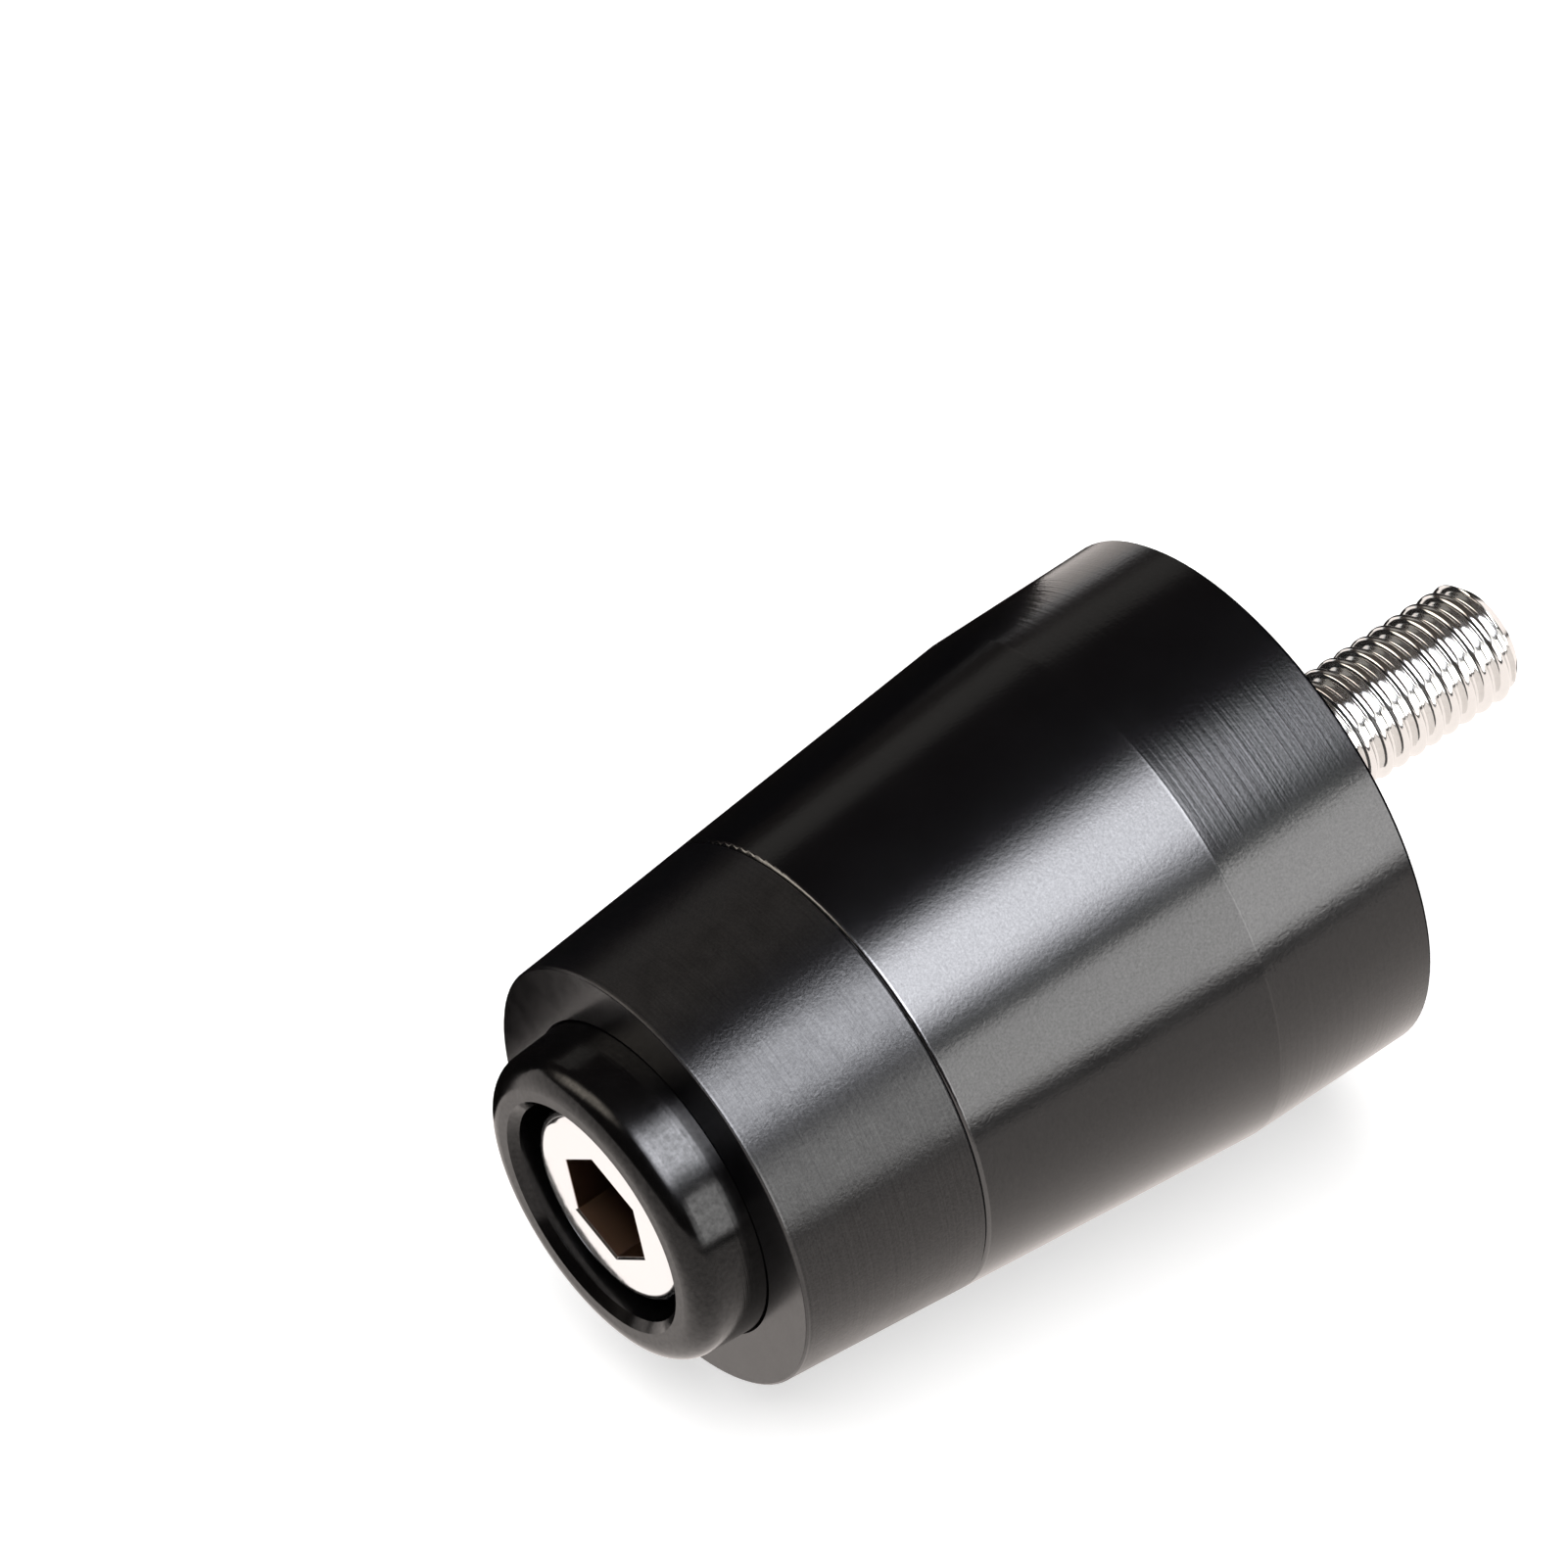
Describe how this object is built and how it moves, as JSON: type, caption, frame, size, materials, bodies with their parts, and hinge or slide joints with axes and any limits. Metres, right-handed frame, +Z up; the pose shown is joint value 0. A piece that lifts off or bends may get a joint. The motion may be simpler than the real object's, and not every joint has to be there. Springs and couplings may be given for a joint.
{
  "type": "bar end weight",
  "caption": "Tapered handlebar end weight with a front collar ring, a rounded end cap and a socket head bolt through it, whose thread screws into the end of the bar.",
  "frame": {"origin": "on the axis, in the plane of the rear face that seats on the end of the handlebar", "axes": "+X along the axis out of the rear face, the way the thread points into the handlebar; +Y and +Z across it, with +Z up on a level bar"},
  "size_m": [0.0527, 0.0266, 0.0266],
  "materials": {
    "weight_body": "turned, anodised black, satin gloss",
    "collar_ring": "turned, anodised black, matte",
    "end_cap": "turned, anodised black, glossy",
    "socket_bolt": "steel with a bright nickel plating"
  },
  "bodies": {
    "root": {"weight_body": "weight_body", "collar_ring": "collar_ring", "end_cap": "end_cap", "socket_bolt": "socket_bolt"}
  },
  "joints": []
}
